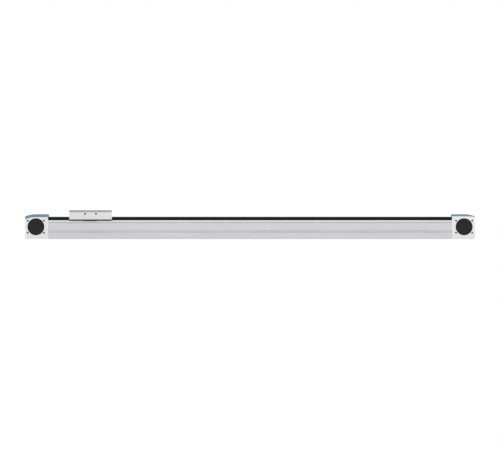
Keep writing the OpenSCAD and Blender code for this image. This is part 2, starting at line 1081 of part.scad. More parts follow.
// Room for the key, or the key itself when gap is zero
module key_shape(gap) {
    block([-key_width / 2 - gap, -key_length / 2 - gap, key_foot - gap],
        [key_width / 2 + gap, key_length / 2 + gap, key_foot + key_height + gap]);
}

module pulley() {
    difference() {
        union() {
            along_y(-rim_half, rim_half)
                rim_outline();
            rod_y(hub_diameter, -hub_half, hub_half, 0, 0);
        }
        rod_y(shaft_diameter + 2 * ring_fit, -hub_half - eps, hub_half + eps, 0, 0);
        key_shape(key_fit);
    }
}

module pulley_flanges() {
    front_and_rear()
        difference() {
            rod_y(2 * flange_radius, rim_half, rim_half + flange_thickness, 0, 0);
            rod_y(hub_diameter + 2 * ring_fit, rim_half - eps, rim_half + flange_thickness + eps, 0, 0);
        }
}

module shaft() {
    difference() {
        rod_y(shaft_diameter, -shaft_end, shaft_end, 0, 0);
        key_shape(key_fit);
    }
}

module drive_pulley() {
    color(aluminium)
        at_pulley(-1)
            pulley();
}

module idler_pulley() {
    color(aluminium)
        at_pulley(1)
            pulley();
}

module drive_pulley_flanges() {
    color(steel)
        at_pulley(-1)
            pulley_flanges();
}

module idler_pulley_flanges() {
    color(steel)
        at_pulley(1)
            pulley_flanges();
}

module drive_shaft() {
    color(steel)
        at_pulley(-1)
            difference() {
                shaft();
                rod_y(drive_bore, -half_width, half_width, 0, 0);
                block([-bore_key_width / 2, -half_width, -drive_bore / 2 - bore_key_depth],
                    [bore_key_width / 2, half_width, 0]);
            }
}

module idler_shaft() {
    color(steel)
        at_pulley(1)
            difference() {
                shaft();
                rod_y(centre_hole, -bearing_face, centre_depth - shaft_end, 0, 0);
                rod_y(centre_hole, shaft_end - centre_depth, bearing_face, 0, 0);
            }
}

module drive_key() {
    color(dark_steel)
        at_pulley(-1)
            key_shape(0);
}

module idler_key() {
    color(dark_steel)
        at_pulley(1)
            key_shape(0);
}

// ---------- belt ----------

// Corners of a belt tooth. Its root lies at the point p, and the belt
// runs along the tangent of a pulley at the angle a.
function belt_tooth(p, a) =
    let (t = [sin(a), -cos(a)], n = [-cos(a), -sin(a)])
    [
        p - t * tooth_root / 2,
        p - t * tooth_tip / 2 + n * tooth_height,
        p + t * tooth_tip / 2 + n * tooth_height,
        p + t * tooth_root / 2
    ];

function on_pulley(side, r, a) = [side * pulley_x + r * cos(a), pulley_z + r * sin(a)];
function wrap_tooth(side, a) = belt_tooth(on_pulley(side, land_radius, a), a);
function upper_tooth(i) = belt_tooth([-pulley_x + i * strand_pitch, pulley_z + land_radius], 90);
function lower_tooth(i) =
    belt_tooth([pulley_x - (i + lower_phase) * strand_pitch, pulley_z - land_radius], -90);
function lower_last() = strand_teeth - (lower_phase > 0 ? 1 : 0);

function toothed_side() = [
    for (i = [0:strand_teeth]) each upper_tooth(i),
    for (i = [1:wrap_teeth]) each wrap_tooth(1, 90 - i * tooth_step),
    for (i = [0:lower_last()]) each lower_tooth(i),
    for (i = [1:wrap_teeth]) each wrap_tooth(-1, -90 - (i - lower_phase) * tooth_step)
];

function smooth_side() = [
    for (i = [0:wrap_facets]) on_pulley(1, back_radius, 90 - i * 180 / wrap_facets),
    for (i = [0:wrap_facets]) on_pulley(-1, back_radius, -90 - i * 180 / wrap_facets)
];

module toothed_belt() {
    outside = smooth_side();
    inside = toothed_side();
    color(belt_black)
        along_y(-belt_half, belt_half)
            polygon(concat(outside, inside), [
                [for (i = [0:len(outside) - 1]) i],
                [for (i = [0:len(inside) - 1]) len(outside) + i]
            ]);
}

// ---------- carriage ----------

module carriage_outline() {
    half = [
        [carriage_half, body_top],
        [carriage_half, skirt_bottom],
        [skirt_inner, skirt_bottom],
        [skirt_inner, body_bottom],
        [web_outer, body_bottom],
        [web_outer, block_top]
    ];
    other = [for (i = [len(half) - 1:-1:0]) [-half[i][0], half[i][1]]];
    difference() {
        polygon(concat(half, other));
        translate([-tunnel_half, clamp_floor])
            square([2 * tunnel_half, tunnel_top - clamp_floor]);
    }
}

module block_screw_places() {
    for (b = [-1, 1], x = [-1, 1], y = [-1, 1])
        translate([b * block_offset + x * block_hole_x / 2, y * block_hole_y / 2, 0])
            children();
}

// Pockets of the strip wipers, or the wipers themselves
module wiper_places(gap) {
    for (x = [-1, 1])
        front_and_rear()
            translate([x * (carriage_length / 2 - wiper_depth), 0, 0])
                block([-wiper_depth / 2 - gap, strip_inner - gap, strip_top + wipe_gap],
                    [wiper_depth / 2 + gap, strip_outer + gap, strip_top + wipe_gap + wiper_height + gap]);
}

module plate_screw_places() {
    for (x = [-plate_screw_x, 0, plate_screw_x], y = [-plate_screw_y, plate_screw_y])
        translate([x, y, 0])
            children();
}

module payload_places() {
    for (x = [-1, 1], y = [-1, 1])
        translate([x * payload_x / 2, y * payload_y / 2, 0])
            children();
}

module clamp_screw_places() {
    for (side = [-1, 1], i = [-1:1])
        translate([side * (press_inner + press_length / 2) + i * clamp_screw_spacing, 0, 0])
            children();
}

module lube_places() {
    for (x = [-1, 1])
        translate([x * lube_spacing / 2, 0, body_top - lube_drop])
            children();
}

module carriage_body() {
    access = 2 * small_screw + 0.8;
    color(aluminium)
        on_carriage()
            difference() {
                along_x(-carriage_length / 2, carriage_length / 2)
                    carriage_outline();
                for (side = [-1, 1])
                    translate([side * (press_inner + press_length / 2), 0, 0])
                        block([-press_length / 2 - screw_fit, -tunnel_half, clamp_floor + eps],
                            [press_length / 2 + screw_fit, tunnel_half, press_top + tooth_fit]);
                block_screw_places() {
                    rod_z(access, tunnel_top - eps, body_top + eps, 0, 0);
                    rod_z(small_screw + 2 * screw_fit, block_top - eps, clamp_floor, 0, 0);
                    translate([0, 0, clamp_floor - small_screw / 2])
                        cylinder(d1 = small_screw + 2 * screw_fit, d2 = 2 * small_screw + 2 * screw_fit + 0.1,
                            h = small_screw / 2 + eps);
                }
                clamp_screw_places()
                    rod_z(small_screw + 2 * screw_fit, tunnel_top, body_top + eps, 0, 0);
                plate_screw_places()
                    rod_z(small_screw + 2 * screw_fit, body_top - plate_screw_depth, body_top + eps, 0, 0);
                payload_places()
                    rod_z(payload_hole, plate_top - payload_depth, plate_top, 0, 0);
                front_and_rear()
                    lube_places()
                        rod_y(lube_hole, carriage_half - lube_depth, carriage_half + eps, 0, 0);
                wiper_places(plastic_fit);
            }
}

module carriage_top_plate() {
    color(plate_grey)
        on_carriage()
            difference() {
                block([-carriage_length / 2, -carriage_half, body_top],
                    [carriage_length / 2, carriage_half, plate_top]);
                payload_places()
                    rod_z(payload_hole, body_top - eps, plate_top + eps, 0, 0);
                plate_screw_places() {
                    rod_z(small_screw + 2 * screw_fit, body_top - eps, plate_top, 0, 0);
                    rod_z(2 * small_screw - 1, plate_top - plate_screw_sink, plate_top + eps, 0, 0);
                }
            }
}

module top_plate_screws() {
    color(dark_steel)
        on_carriage()
            plate_screw_places()
                translate([0, 0, plate_top - plate_screw_sink])
                    cap_screw(small_screw, plate_thickness - plate_screw_sink + plate_screw_depth - 1);
}

module runner_block(side) {
    color(steel)
        on_carriage()
            translate([side * block_offset, 0, 0])
                difference() {
                    block([-block_body / 2, -block_half, block_bottom],
                        [block_body / 2, block_half, block_top]);
                    along_x(-block_body / 2 - eps, block_body / 2 + eps)
                        rail_outline(rail_floor, rail_gap);
                    for (x = [-1, 1], y = [-1, 1])
                        rod_z(small_screw + 2 * screw_fit, rail_top + 2, block_top + eps,
                            x * block_hole_x / 2, y * block_hole_y / 2);
                }
}

module runner_block_left() {
    runner_block(-1);
}

module runner_block_right() {
    runner_block(1);
}

// A plate across both ends of both blocks, from start to start + length
module block_ends(start, length, inset) {
    on_carriage()
        for (b = [-1, 1], e = [-1, 1])
            translate([b * block_offset + e * (start + length / 2), 0, 0])
                difference() {
                    block([-length / 2, -block_half + inset, block_bottom + inset],
                        [length / 2, block_half - inset, block_top - inset - 0.5]);
                    along_x(-length / 2 - eps, length / 2 + eps)
                        rail_outline(rail_floor, rail_gap);
                }
}

module block_end_caps() {
    color(cage_green)
        block_ends(block_body / 2, block_cap, 0.5);
}

module block_end_seals() {
    color(rubber)
        block_ends(block_body / 2 + block_cap, block_seal, 1);
}

module block_screws() {
    color(dark_steel)
        on_carriage()
            block_screw_places()
                translate([0, 0, clamp_floor])
                    flat_screw(small_screw, clamp_floor - rail_top - 3);
}

// Steel plate whose ribs stand between the belt's teeth
module lower_belt_clamp() {
    clamp_end = carriage_length / 2 - clamp_inset;
    root = (strand_pitch - tooth_tip) / 2 - tooth_fit;
    crest = (strand_pitch - tooth_root) / 2 - tooth_fit;
    places = [
        for (i = [strand_teeth - 1:-1:0])
            let (x = -pulley_x + (i + 0.5) * strand_pitch)
            if (abs(x - carriage_x) < clamp_end - root) x
    ];
    ribs = [
        for (x = places)
            each [
                [x + root, clamp_top],
                [x + crest, clamp_top + tooth_height],
                [x - crest, clamp_top + tooth_height],
                [x - root, clamp_top]
            ]
    ];
    color(steel)
        along_y(-clamp_half, clamp_half)
            polygon(concat(
                [[carriage_x - clamp_end, clamp_floor], [carriage_x + clamp_end, clamp_floor]],
                [[carriage_x + clamp_end, clamp_top]],
                ribs,
                [[carriage_x - clamp_end, clamp_top]]
            ));
}

module upper_clamp(side) {
    color(steel)
        on_carriage()
            translate([side * (press_inner + press_length / 2), 0, 0])
                block([-press_length / 2, -clamp_half, press_bottom],
                    [press_length / 2, clamp_half, press_top]);
}

module upper_clamp_left() {
    upper_clamp(-1);
}

module upper_clamp_right() {
    upper_clamp(1);
}

module clamp_screws() {
    color(dark_steel)
        on_carriage()
            clamp_screw_places()
                translate([0, 0, press_top])
                    grub_screw(small_screw, clamp_screw_length);
}

// Seals under the skirts, left and right of the magnet holder
module side_seals() {
    length = (carriage_length - magnet_length) / 2 - seal_end_gap;
    color(rubber)
        on_carriage()
            front_and_rear()
                for (side = [-1, 1])
                    translate([side * (carriage_length - length) / 2, 0, 0])
                        block([-length / 2, seal_outer - seal_thickness, skirt_bottom - seal_height],
                            [length / 2, seal_outer, skirt_bottom]);
}

module magnet_holder() {
    on_carriage()
        block([-magnet_length / 2, seal_outer - seal_thickness, skirt_bottom - magnet_height],
            [magnet_length / 2, seal_outer, skirt_bottom]);
}

module magnet_holder_rear() {
    color(black_plastic)
        magnet_holder();
}

module magnet_holder_front() {
    color(black_plastic)
        mirror([0, 1, 0])
            magnet_holder();
}

module strip_wipers() {
    color(rubber)
        on_carriage()
            wiper_places(0);
}

// Nipples in the lubrication holes, each with its dust cap
module grease_nipples() {
    inner = carriage_half - lube_depth;
    color(dark_steel)
        on_carriage()
            front_and_rear()
                lube_places() {
                    rod_y(lube_hole - 2 * screw_fit, inner, inner + nipple_body, 0, 0);
                    rod_y(0.8 * lube_hole, inner + nipple_body - eps, carriage_half - nipple_recess, 0, 0);
                }
}

profile_body();
side_slot_covers();
bottom_slot_covers();
cover_strip_front();
cover_strip_rear();
guide_rail();
rail_screws();
rail_plugs();
drive_head_housing();
idler_head_housing();
drive_head_screws();
idler_head_screws();
drive_head_hood();
idler_head_hood();
hood_screws();
drive_bearing_outer_rings();
idler_bearing_outer_rings();
drive_bearing_seals();
idler_bearing_seals();
drive_front_cap();
idler_front_cap();
idler_rear_cap();
end_buffers_left();
end_buffers_right();
toothed_belt();
drive_pulley();
drive_pulley_flanges();
drive_shaft();
drive_key();
drive_bearing_inner_rings();
drive_bearing_cages();
drive_bearing_balls();
idler_pulley();
idler_pulley_flanges();
idler_shaft();
idler_key();
idler_bearing_inner_rings();
idler_bearing_cages();
idler_bearing_balls();
carriage_body();
carriage_top_plate();
top_plate_screws();
runner_block_left();
runner_block_right();
block_end_caps();
block_end_seals();
block_screws();
lower_belt_clamp();
upper_clamp_left();
upper_clamp_right();
clamp_screws();
side_seals();
magnet_holder_front();
magnet_holder_rear();
strip_wipers();
grease_nipples();
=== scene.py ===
"""Looks of a belt driven linear axis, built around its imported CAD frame. Metres, +Z up."""

import json
import math

import bmesh
import bpy
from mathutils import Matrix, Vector


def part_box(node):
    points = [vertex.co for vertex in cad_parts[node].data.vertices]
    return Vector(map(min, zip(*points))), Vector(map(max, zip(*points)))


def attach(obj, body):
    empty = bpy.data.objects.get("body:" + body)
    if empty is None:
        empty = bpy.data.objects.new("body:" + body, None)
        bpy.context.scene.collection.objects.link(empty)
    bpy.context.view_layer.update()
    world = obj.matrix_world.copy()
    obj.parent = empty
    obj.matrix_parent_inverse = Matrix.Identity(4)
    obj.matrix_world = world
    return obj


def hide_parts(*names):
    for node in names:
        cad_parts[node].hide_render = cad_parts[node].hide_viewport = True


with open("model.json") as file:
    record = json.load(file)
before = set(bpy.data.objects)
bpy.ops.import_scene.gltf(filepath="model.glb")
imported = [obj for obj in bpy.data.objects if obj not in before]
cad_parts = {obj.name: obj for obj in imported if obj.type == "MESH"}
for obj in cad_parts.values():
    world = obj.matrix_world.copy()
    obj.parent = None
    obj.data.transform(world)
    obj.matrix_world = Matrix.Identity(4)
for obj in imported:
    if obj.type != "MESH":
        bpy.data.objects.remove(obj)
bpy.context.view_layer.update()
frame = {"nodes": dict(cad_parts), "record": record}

MM = 0.001
HALF_TURN = math.pi
QUARTER_TURN = HALF_TURN / 2
UP = Vector((0, 0, 1))

# ---------------------------------------------------------------- camera

VIEW_WIDTH = 1.8565
VIEW_HEIGHT_MIDDLE = 0.052
VIEW_DISTANCE = 5.0
VIEW_REACH = 50


def make_camera():
    """A flat side view of the whole axis, as in a product drawing."""
    data = bpy.data.cameras.new("camera")
    data.type = "ORTHO"
    data.ortho_scale = VIEW_WIDTH
    data.clip_end = VIEW_REACH
    camera = bpy.data.objects.new("camera", data)
    camera.location = (0, -VIEW_DISTANCE, VIEW_HEIGHT_MIDDLE)
    camera.rotation_euler = (QUARTER_TURN, 0, 0)
    bpy.context.scene.collection.objects.link(camera)
    bpy.context.scene.camera = camera


# ---------------------------------------------------------------- stage

FLOOR_SIZE = 14.0
FLOOR_HEIGHT = -0.2 * MM
FLOOR_COLOUR = 0.90
FLOOR_ROUGHNESS = 0.9
FLOOR_SPECULAR = 0.1
SKY_LIGHT = 0.62
WHITE_LIGHT = 1.0

# Name, place, width and height in metres, and power in watts
LAMPS = [
    ("key", (-1.2, -2.6, 2.2), (2.4, 1.6), 30),
    ("fill", (1.6, -2.4, 1.2), (2.0, 1.6), 12),
    ("top", (0.0, 0.6, 3.2), (3.0, 1.6), 18),
    ("back", (0.6, 3.0, 1.6), (2.4, 1.4), 14),
]


def make_floor():
    """A pale floor just under the axis."""
    mesh = bpy.data.meshes.new("floor")
    half = FLOOR_SIZE / 2
    outline = ((-half, -half), (half, -half), (half, half), (-half, half))
    corners = [(x, y, FLOOR_HEIGHT) for x, y in outline]
    mesh.from_pydata(corners, [], [(0, 1, 2, 3)])
    floor = bpy.data.objects.new("floor", mesh)
    bpy.context.scene.collection.objects.link(floor)
    material = bpy.data.materials.new("floor")
    material.use_nodes = True
    shader = material.node_tree.nodes["Principled BSDF"]
    shader.inputs["Base Color"].default_value = (FLOOR_COLOUR, FLOOR_COLOUR, FLOOR_COLOUR, 1)
    shader.inputs["Roughness"].default_value = FLOOR_ROUGHNESS
    shader.inputs["Specular IOR Level"].default_value = FLOOR_SPECULAR
    mesh.materials.append(material)


def make_world():
    """White to the camera and in reflections, and a plain soft light on everything else."""
    world = bpy.data.worlds.new("studio")
    bpy.context.scene.world = world
    world.use_nodes = True
    tree = world.node_tree
    tree.nodes.clear()

    def background(strength):
        node = tree.nodes.new("ShaderNodeBackground")
        node.inputs["Color"].default_value = (1, 1, 1, 1)
        node.inputs["Strength"].default_value = strength
        return node.outputs[0]

    def either(first, second):
        node = tree.nodes.new("ShaderNodeMath")
        node.operation = "MAXIMUM"
        tree.links.new(first, node.inputs[0])
        tree.links.new(second, node.inputs[1])
        return node.outputs[0]

    path = tree.nodes.new("ShaderNodeLightPath").outputs
    seen = either(path["Is Camera Ray"], either(path["Is Glossy Ray"], path["Is Transmission Ray"]))
    mix = tree.nodes.new("ShaderNodeMixShader")
    output = tree.nodes.new("ShaderNodeOutputWorld")
    tree.links.new(seen, mix.inputs["Fac"])
    tree.links.new(background(SKY_LIGHT), mix.inputs[1])
    tree.links.new(background(WHITE_LIGHT), mix.inputs[2])
    tree.links.new(mix.outputs[0], output.inputs["Surface"])
    bpy.context.scene.view_settings.view_transform = "Standard"


def make_lamps():
    """Soft area lamps, all turned to the middle of the axis."""
    for name, place, size, power in LAMPS:
        data = bpy.data.lights.new(name, "AREA")
        data.shape = "RECTANGLE"
        data.size, data.size_y = size
        data.energy = power
        lamp = bpy.data.objects.new(name, data)
        lamp.location = place
        lamp.rotation_euler = (-Vector(place)).to_track_quat("-Z", "Y").to_euler()
        bpy.context.scene.collection.objects.link(lamp)


# ---------------------------------------------------------------- materials

NOISE_ROUGHNESS = 0.55
BEVEL_SAMPLES = 4
OCCLUSION_SAMPLES = 6

# Sockets of a Mix node that mixes colours
MIX_FACTOR, MIX_FIRST, MIX_SECOND, MIX_RESULT = 0, 6, 7, 2


def paint(red, green, blue):
    """A colour from 0 to 255, as a shader's linear colour."""
    values = []
    for value in (red, green, blue):
        share = value / 255
        values.append(share / 12.92 if share <= 0.04045 else ((share + 0.055) / 1.055) ** 2.4)
    return (*values, 1)


def scaled(colour, factor):
    """A lighter or darker shade of a colour."""
    return (*(min(1, c * factor) for c in colour[:3]), 1)


class Finish:
    """A procedural material: grain, broad unevenness, wear on edges and painted shade in crevices over
    one colour.
    """

    def __init__(self, name, colour, metallic=0.0, specular=0.5):
        self.material = bpy.data.materials.new(name)
        self.material.use_nodes = True
        self.tree = self.material.node_tree
        self.shader = self.tree.nodes["Principled BSDF"]
        self.shader.inputs["Metallic"].default_value = metallic
        self.shader.inputs["Specular IOR Level"].default_value = specular
        self.colour = colour
        self.place = self.tree.nodes.new("ShaderNodeTexCoord").outputs["Object"]
        self.current = None
        self.height = None

    def noise(self, scale, detail=4.0):
        """Noise stretched by a scale in cells per metre along each axis."""
        mapping = self.tree.nodes.new("ShaderNodeMapping")
        mapping.inputs["Scale"].default_value = scale
        self.tree.links.new(self.place, mapping.inputs["Vector"])
        noise = self.tree.nodes.new("ShaderNodeTexNoise")
        noise.inputs["Scale"].default_value = 1.0
        noise.inputs["Detail"].default_value = detail
        noise.inputs["Roughness"].default_value = NOISE_ROUGHNESS
        self.tree.links.new(mapping.outputs[0], noise.inputs["Vector"])
        return noise.outputs["Fac"]

    def bands(self, axis, pitch):
        """Even ridges, one per pitch in metres, across an axis."""
        wave = self.tree.nodes.new("ShaderNodeTexWave")
        wave.wave_type = "BANDS"
        wave.bands_direction = axis
        # At scale 1 the texture repeats every tenth of pi
        wave.inputs["Scale"].default_value = HALF_TURN / (10 * pitch)
        wave.inputs["Distortion"].default_value = 0.0
        self.tree.links.new(self.place, wave.inputs["Vector"])
        return wave.outputs["Fac"]

    def combine(self, operation, first, second):
        """A Math node's result for two values, each a number or a socket."""
        node = self.tree.nodes.new("ShaderNodeMath")
        node.operation = operation
        for socket, value in zip(node.inputs, (first, second)):
            if isinstance(value, (int, float)):
                socket.default_value = value
            else:
                self.tree.links.new(value, socket)
        return node.outputs[0]

    def ranged(self, value, low, high, start=0.3, end=0.7):
        """A noise value stretched to run from low to high."""
        spread = self.tree.nodes.new("ShaderNodeMapRange")
        spread.inputs["From Min"].default_value = start
        spread.inputs["From Max"].default_value = end
        spread.inputs["To Min"].default_value = low
        spread.inputs["To Max"].default_value = high
        self.tree.links.new(value, spread.inputs["Value"])
        return spread.outputs["Result"]

    def tint(self, value, colour, amount, start=0.35, end=0.7):
        """Mixes a colour in where a value is high."""
        mix = self.tree.nodes.new("ShaderNodeMix")
        mix.data_type = "RGBA"
        if self.current is None:
            mix.inputs[MIX_FIRST].default_value = self.colour
        else:
            self.tree.links.new(self.current, mix.inputs[MIX_FIRST])
        mix.inputs[MIX_SECOND].default_value = colour
        self.tree.links.new(self.ranged(value, 0.0, amount, start, end), mix.inputs[MIX_FACTOR])
        self.current = mix.outputs[MIX_RESULT]
        return self

    def wear(self, colour, amount, width=0.9 * MM):
        """Rubs the sharp edges: there a rounded normal leans away from the face's own."""
        rounded = self.tree.nodes.new("ShaderNodeBevel")
        rounded.samples = BEVEL_SAMPLES
        rounded.inputs["Radius"].default_value = width
        geometry = self.tree.nodes.new("ShaderNodeNewGeometry")
        lean = self.tree.nodes.new("ShaderNodeVectorMath")
        lean.operation = "DOT_PRODUCT"
        self.tree.links.new(rounded.outputs[0], lean.inputs[0])
        self.tree.links.new(geometry.outputs["Normal"], lean.inputs[1])
        edge = self.combine("SUBTRACT", 1.0, lean.outputs["Value"])
        patchy = self.combine("MULTIPLY", edge, self.ranged(self.noise((120, 120, 120)), 0.3, 1.2))
        return self.tint(patchy, colour, amount, 0.01, 0.16)

    def paint_crevice_shade(self, colour, amount, reach=4 * MM):
        """Paints shade into corners, grooves and holes: darker where ambient occlusion finds faces of
        the same object close by.
        """
        occlusion = self.tree.nodes.new("ShaderNodeAmbientOcclusion")
        occlusion.samples = OCCLUSION_SAMPLES
        occlusion.only_local = True
        occlusion.inputs["Distance"].default_value = reach
        shade_share = self.combine("SUBTRACT", 1.0, occlusion.outputs["AO"])
        return self.tint(shade_share, colour, amount, 0.1, 0.8)

    def dust(self, colour, amount):
        """A thin film on what faces up."""
        geometry = self.tree.nodes.new("ShaderNodeNewGeometry")
        split = self.tree.nodes.new("ShaderNodeSeparateXYZ")
        self.tree.links.new(geometry.outputs["Normal"], split.inputs[0])
        film = self.combine("MULTIPLY", split.outputs["Z"], self.noise((40, 40, 40)))
        return self.tint(film, colour, amount, 0.2, 0.7)

    def rough(self, value, low, high):
        """Lets the roughness follow a noise value."""
        self.tree.links.new(self.ranged(value, low, high), self.shader.inputs["Roughness"])
        return self

    def bump(self, value, depth):
        """Height in metres from a value of 0 to 1. Repeated calls stack."""
        bump = self.tree.nodes.new("ShaderNodeBump")
        bump.inputs["Strength"].default_value = 1.0
        bump.inputs["Distance"].default_value = depth
        self.tree.links.new(value, bump.inputs["Height"])
        if self.height is not None:
            self.tree.links.new(self.height, bump.inputs["Normal"])
        self.height = bump.outputs["Normal"]
        return self

    def done(self):
        """Links what was built to the shader and gives the material."""
        if self.current is not None:
            self.tree.links.new(self.current, self.shader.inputs["Base Color"])
        else:
            self.shader.inputs["Base Color"].default_value = self.colour
        if self.height is not None:
            self.tree.links.new(self.height, self.shader.inputs["Normal"])
        return self.material


def extruded_aluminium():
    """Bare profile: streaks from the die along the axis, and painted shade that darkens corners and
    grooves.
    """
    colour = paint(208, 208, 210)
    f = Finish("profile_aluminium", colour, metallic=0.3, specular=0.4)
    streaks = f.noise((3, 700, 700), detail=3)
    grain = f.noise((900, 1800, 1800), detail=2)
    f.tint(streaks, scaled(colour, 0.86), 0.5)
    f.tint(f.noise((5, 40, 40)), scaled(colour, 1.08), 0.4)
    f.wear(paint(236, 236, 238), 0.5)
    # Painted shade: near-black in the profile's grooves, holes and corners
    f.paint_crevice_shade(paint(20, 20, 21), 1.0, 6 * MM)
    f.rough(streaks, 0.44, 0.56)
    f.bump(streaks, 0.03 * MM)
    return f.bump(grain, 0.01 * MM).done()


def milled_aluminium(name, colour, metallic, rough):
    """Satin anodised: a fine even grain with faint cutter marks."""
    f = Finish(name, colour, metallic=metallic, specular=0.4)
    grain = f.noise((2200, 2200, 2200), detail=3)
    cutter = f.noise((60, 900, 900), detail=2)
    cloud = f.noise((14, 14, 14), detail=3)
    f.tint(grain, scaled(colour, 0.88), 0.35)
    f.tint(cloud, scaled(colour, 1.06), 0.5)
    f.wear(scaled(colour, 1.25), 0.5)
    # Painted shade: a much darker tone of the colour in corners and holes
    f.paint_crevice_shade(scaled(colour, 0.12), 0.8)
    f.rough(cloud, rough - 0.05, rough + 0.06)
    f.bump(cutter, 0.012 * MM)
    return f.bump(grain, 0.015 * MM).done()


def moulded_plastic(name, colour, rough, specular=0.3, dust=0.0):
    """Spark-eroded mould grain, edges rubbed a little lighter."""
    f = Finish(name, colour, specular=specular)
    grain = f.noise((1600, 1600, 1600), detail=2)
    cloud = f.noise((20, 20, 20), detail=3)
    f.tint(cloud, scaled(colour, 1.12), 0.5)
    f.tint(grain, scaled(colour, 0.88), 0.35)
    f.wear(scaled(colour, 1.6), 0.45)
    if dust:
        f.dust(paint(150, 150, 148), dust)
    f.rough(cloud, rough - 0.06, rough + 0.08)
    return f.bump(grain, 0.02 * MM).done()


def extruded_plastic(name, colour, rough, specular=0.3, dust=0.0):
    """Plastic drawn through a die: fine lines along the axis."""
    f = Finish(name, colour, specular=specular)
    lines = f.noise((4, 900, 900), detail=2)
    f.tint(lines, scaled(colour, 1.3), 0.4)
    f.tint(f.noise((7, 30, 30)), scaled(colour, 0.8), 0.5)
    f.wear(scaled(colour, 1.8), 0.4)
    if dust:
        f.dust(paint(140, 140, 138), dust)
    f.rough(lines, rough - 0.05, rough + 0.07)
    return f.bump(lines, 0.02 * MM).done()


def ground_steel(name, colour, rough, along=(6, 1400, 1400)):
    """Fine grinding lines along an axis, X unless told otherwise."""
    f = Finish(name, colour, metallic=0.9, specular=0.5)
    lines = f.noise(along, detail=3)
    f.tint(lines, scaled(colour, 0.75), 0.5)
    f.tint(f.noise((30, 30, 30)), scaled(colour, 1.12), 0.4)
    f.wear(scaled(colour, 1.4), 0.5)
    f.rough(lines, rough - 0.06, rough + 0.1)
    return f.bump(lines, 0.015 * MM).done()


def black_oxide():
    """Blackened screws, bright where the edges are rubbed."""
    colour = paint(46, 46, 49)
    f = Finish("screw_steel", colour, metallic=0.7, specular=0.4)
    grain = f.noise((1500, 1500, 1500), detail=3)
    f.tint(grain, paint(30, 30, 32), 0.7)
    f.wear(paint(112, 112, 116), 0.6)
    # Painted shade: near-black in the sockets and corners of the screws
    f.paint_crevice_shade(paint(14, 14, 15), 0.8)
    f.rough(f.noise((300, 300, 300)), 0.36, 0.52)
    return f.bump(grain, 0.01 * MM).done()


def turned_brass():
    """Brass with darker patches."""
    colour = paint(196, 164, 92)
    f = Finish("plug_brass", colour, metallic=0.9, specular=0.5)
    f.tint(f.noise((400, 400, 400)), paint(150, 116, 58), 0.5)
    f.wear(paint(230, 205, 140), 0.5)
    f.rough(f.noise((900, 900, 900)), 0.28, 0.42)
    return f.bump(f.noise((1800, 1800, 1800)), 0.01 * MM).done()


def polished_steel():
    """Bearing steel, smooth with faint cloudiness."""
    colour = paint(205, 206, 209)
    f = Finish("bearing_steel", colour, metallic=1.0, specular=0.5)
    f.tint(f.noise((200, 200, 200)), paint(170, 171, 176), 0.4)
    f.wear(paint(235, 236, 240), 0.5)
    f.rough(f.noise((700, 700, 700)), 0.16, 0.26)
    return f.bump(f.noise((2400, 2400, 2400)), 0.004 * MM).done()


def belt_polyurethane():
    """Black belt: faint lines over the steel cords, fine cross grain from the fabric."""
    colour = paint(30, 30, 32)
    f = Finish("belt_polyurethane", colour, specular=0.3)
    cords = f.bands("Y", 1.6 * MM)
    weave = f.noise((1400, 400, 1400), detail=2)
    f.tint(weave, paint(48, 48, 51), 0.6)
    f.tint(f.noise((9, 60, 60)), paint(22, 22, 24), 0.6)
    f.dust(paint(110, 110, 108), 0.1)
    f.rough(weave, 0.46, 0.62)
    f.bump(cords, 0.05 * MM)
    return f.bump(weave, 0.03 * MM).done()


def rubber(name, colour):
    """Matt rubber with a coarse grain."""
    f = Finish(name, colour, specular=0.2)
    grain = f.noise((1200, 1200, 1200), detail=3)
    f.tint(grain, scaled(colour, 1.5), 0.4)
    f.wear(scaled(colour, 2.0), 0.4)
    f.rough(f.noise((60, 60, 60)), 0.62, 0.8)
    return f.bump(grain, 0.03 * MM).done()


MATERIALS = {
    "profile_aluminium": extruded_aluminium(),
    "slot_cover_plastic": extruded_plastic("slot_cover_plastic", paint(199, 199, 201), 0.45),
    "strip_plastic": extruded_plastic("strip_plastic", paint(20, 20, 21), 0.5, specular=0.1, dust=0.02),
    "rail_steel": ground_steel("rail_steel", paint(186, 188, 192), 0.3),
    "screw_steel": black_oxide(),
    "plug_brass": turned_brass(),
    "head_aluminium": milled_aluminium("head_aluminium", paint(226, 226, 227), 0.35, 0.42),
    "hood_plastic": moulded_plastic("hood_plastic", paint(97, 139, 159), 0.4, specular=0.4),
    "bearing_steel": polished_steel(),
    "seal_rubber": rubber("seal_rubber", paint(32, 32, 33)),
    "cap_plastic": moulded_plastic("cap_plastic", paint(35, 35, 35), 0.55, specular=0.14, dust=0.02),
    "buffer_rubber": rubber("buffer_rubber", paint(38, 38, 39)),
    "belt_polyurethane": belt_polyurethane(),
    "pulley_aluminium": milled_aluminium("pulley_aluminium", paint(205, 206, 210), 0.8, 0.36),
    "shaft_steel": ground_steel("shaft_steel", paint(180, 182, 186), 0.26, (1400, 6, 1400)),
    "cage_plastic": moulded_plastic("cage_plastic", paint(92, 128, 98), 0.5),
    "carriage_aluminium": milled_aluminium("carriage_aluminium", paint(220, 220, 220), 0.35, 0.42),
    "plate_aluminium": milled_aluminium("plate_aluminium", paint(160, 160, 161), 0.45, 0.4),
    "block_plastic": moulded_plastic("block_plastic", paint(72, 110, 84), 0.5),
}

# ---------------------------------------------------------------- CAD nodes

WELD_REACH = 0.01 * MM
FLAT_ANGLE = math.radians(0.5)
EDGE_ANGLE = math.radians(35)

